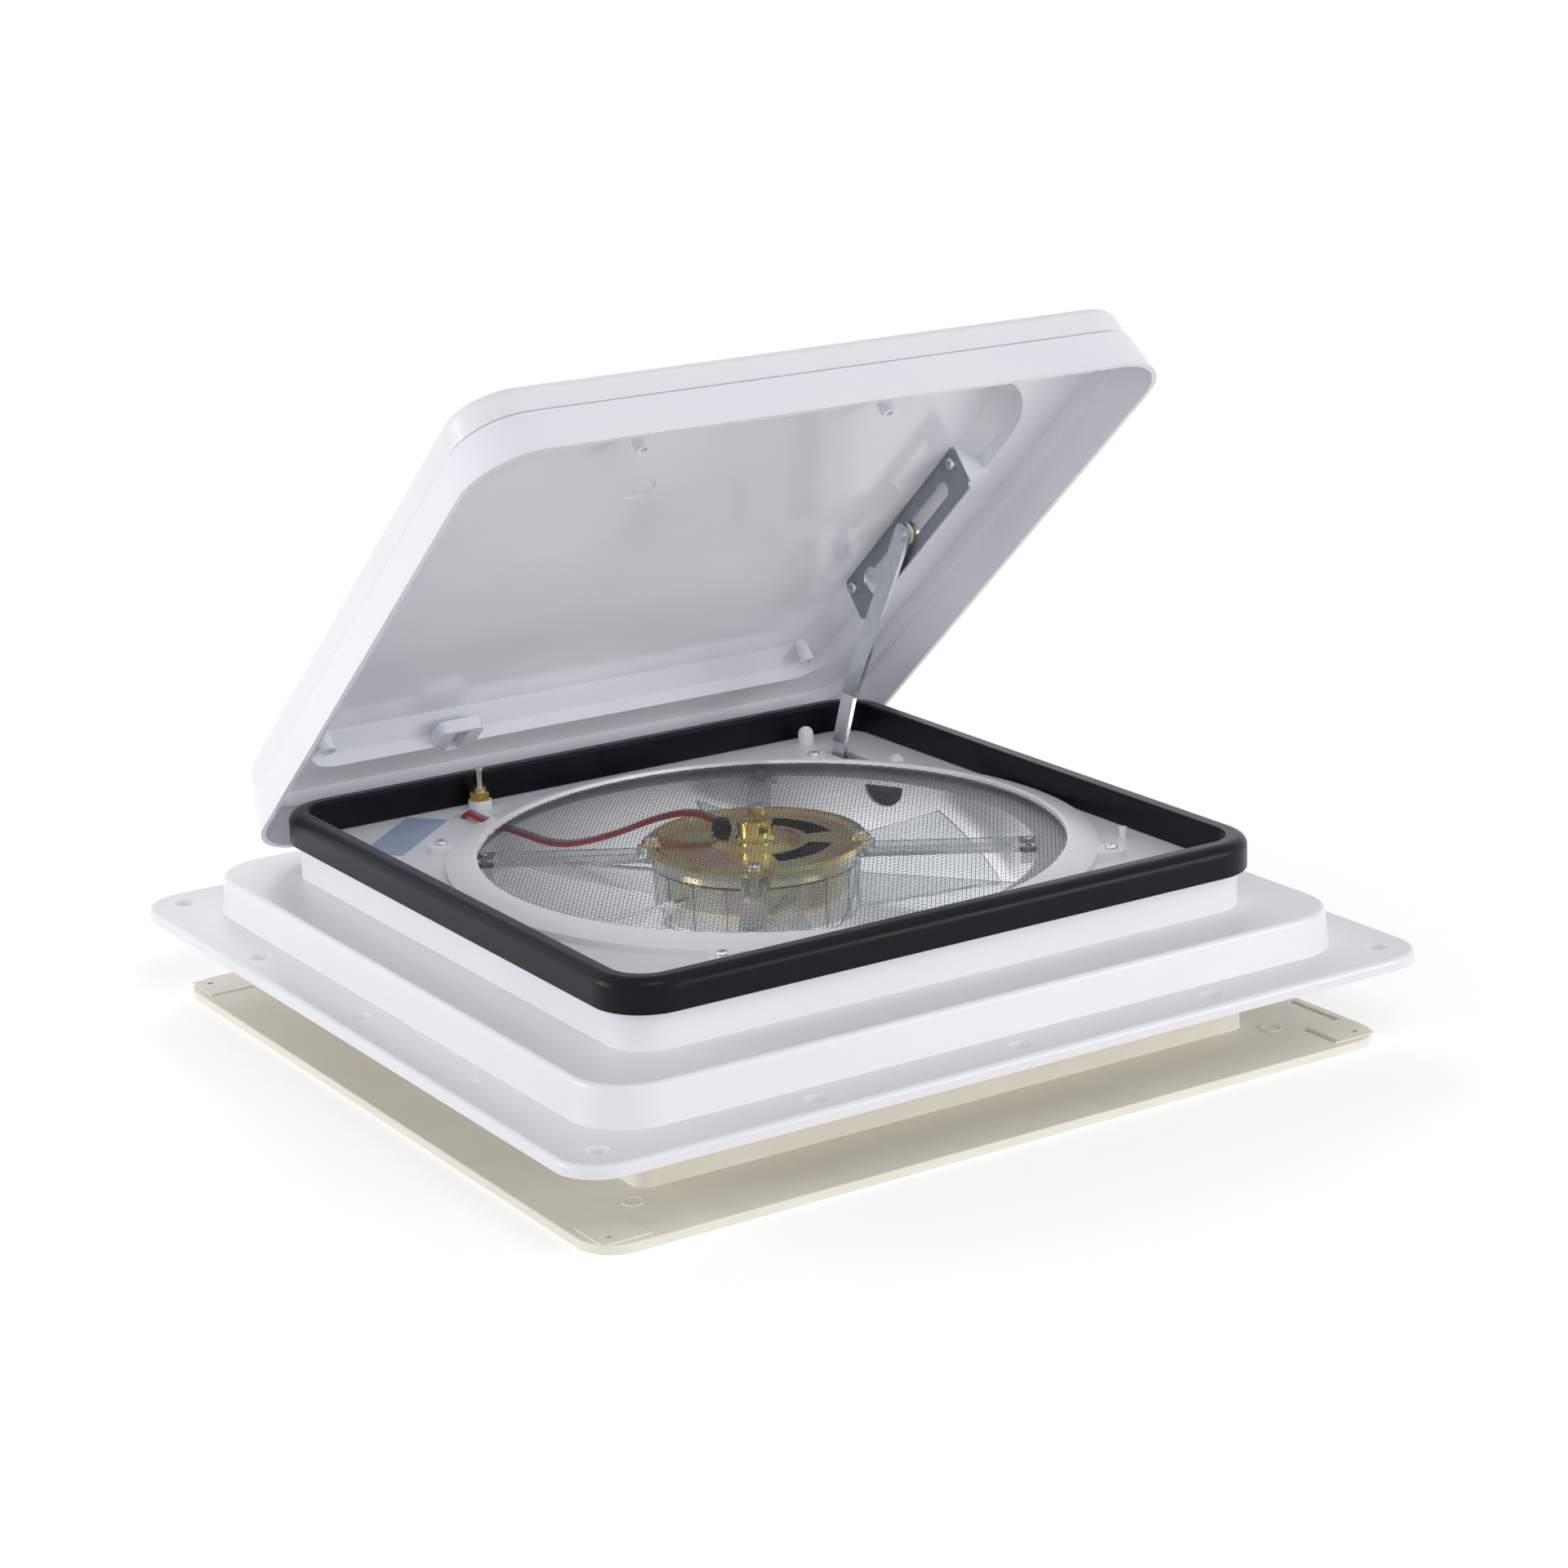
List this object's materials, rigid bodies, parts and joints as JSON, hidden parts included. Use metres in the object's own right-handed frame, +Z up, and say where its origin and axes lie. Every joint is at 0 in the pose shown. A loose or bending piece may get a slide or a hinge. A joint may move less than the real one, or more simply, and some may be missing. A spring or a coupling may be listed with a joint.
{
  "type": "rv roof vent fan",
  "caption": "Square flanged roof ventilator with a screened ducted fan, a hinged domed lid lifted by a slotted crank arm, and a ceiling garnish.",
  "frame": {"origin": "centre of the roof flange's underside", "axes": "+Z up out of the roof, +Y toward the lid's hinge, +X toward the lift arm"},
  "size_m": [0.532, 0.532, 0.3925],
  "materials": {
    "white_abs": "gloss moulded",
    "ivory_abs": "satin moulded",
    "black_rubber": "satin",
    "clear_polycarbonate": "clear moulded",
    "screen_wire": "woven wire",
    "zinc_steel": "bright zinc",
    "grey_steel": "satin grey",
    "gold_zinc": "yellow zinc passivate",
    "nylon": "natural",
    "black_plastic": "moulded",
    "white_plastic": "moulded",
    "nickel": "nickel plated",
    "brass": "turned",
    "ferrite": "sintered",
    "bronze": "sintered",
    "copper_iron": "laminated core",
    "carbon": "pressed carbon",
    "red_pvc": "insulation",
    "grey_pvc": "insulation",
    "label_blue": "blank film"
  },
  "bodies": {
    "base": {"roof_base": "white_abs", "lid_gasket": "black_rubber", "hinge_pins": "zinc_steel", "screen_ring": "white_abs", "screen_ring_screws": "zinc_steel", "screen_mesh": "screen_wire", "motor_spider": "clear_polycarbonate", "spider_foot_screws": "zinc_steel", "motor_can": "gold_zinc", "motor_end_plate": "gold_zinc", "motor_bearing_cap": "gold_zinc", "motor_bearing_bushes": "bronze", "motor_magnets": "ferrite", "motor_brushes": "carbon", "motor_ear_screws": "zinc_steel", "motor_wire_grommet": "black_rubber", "lift_gear_box": "white_plastic", "lift_pivot_pin": "zinc_steel", "lid_switch_body": "nickel", "lid_switch_nut": "brass", "bottom_cover": "white_abs", "bottom_cover_screws": "zinc_steel", "speed_switch": "black_plastic", "supply_grommet": "black_rubber", "blank_label": "label_blue", "ceiling_garnish": "ivory_abs", "motor_wire_red": "red_pvc", "motor_wire_grey": "grey_pvc"},
    "lid": {"lid_liner": "white_abs", "lid_cover": "white_abs", "slotted_bracket": "grey_steel", "bracket_screws": "zinc_steel"},
    "lift_arm": {"lift_arm": "zinc_steel", "lift_arm_rivet": "zinc_steel", "lift_worm_wheel": "nylon"},
    "roller": {"slot_roller": "nylon"},
    "lift_drive": {"lift_worm_shaft": "zinc_steel", "lift_knob": "black_plastic"},
    "rotor": {"motor_shaft": "zinc_steel", "motor_armature": "copper_iron", "fan_blade": "clear_polycarbonate", "fan_nut": "zinc_steel"},
    "plunger": {"lid_switch_plunger": "nickel"},
    "speed_knob": {"speed_knob": "black_plastic"}
  },
  "joints": [
    {"name": "lid_hinge", "type": "hinge", "parent": "base", "child": "lid", "pos_m": [0, 0.2136, 0.0374], "axis": [-1, 0, 0], "range_deg": [-40.77, 0]},
    {"name": "arm_pivot", "type": "hinge", "parent": "base", "child": "lift_arm", "pos_m": [0.151, 0.145, 0.033], "axis": [-1, 0, 0], "range_deg": [-56.22, 0]},
    {"name": "lift_crank", "type": "hinge", "parent": "base", "child": "lift_drive", "pos_m": [0.14575, 0.1621, 0], "axis": [0, 0, 1], "range_deg": [-1574.6, 0]},
    {"name": "roller_spin", "type": "hinge", "parent": "lift_arm", "child": "roller", "pos_m": [0.1635, 0.08313, 0.19571], "axis": [1, 0, 0], "continuous": true},
    {"name": "fan_spin", "type": "hinge", "parent": "base", "child": "rotor", "pos_m": [0, 0, 0.02], "axis": [0, 0, 1], "continuous": true},
    {"name": "switch_press", "type": "slide", "parent": "base", "child": "plunger", "axis": [0, 0, 1], "range_m": [-0.008, 0], "stiffness_N_per_m": 150, "springref_m": 0.004},
    {"name": "speed_turn", "type": "hinge", "parent": "base", "child": "speed_knob", "pos_m": [-0.145, 0.158, -0.04], "axis": [0, 0, 1], "range_deg": [0, 90]}
  ],
  "couplings": [
    {"joint": "arm_pivot", "follows": "lid_hinge", "ratio": 1.3785},
    {"joint": "lift_crank", "follows": "lid_hinge", "ratio": 38.598}
  ]
}
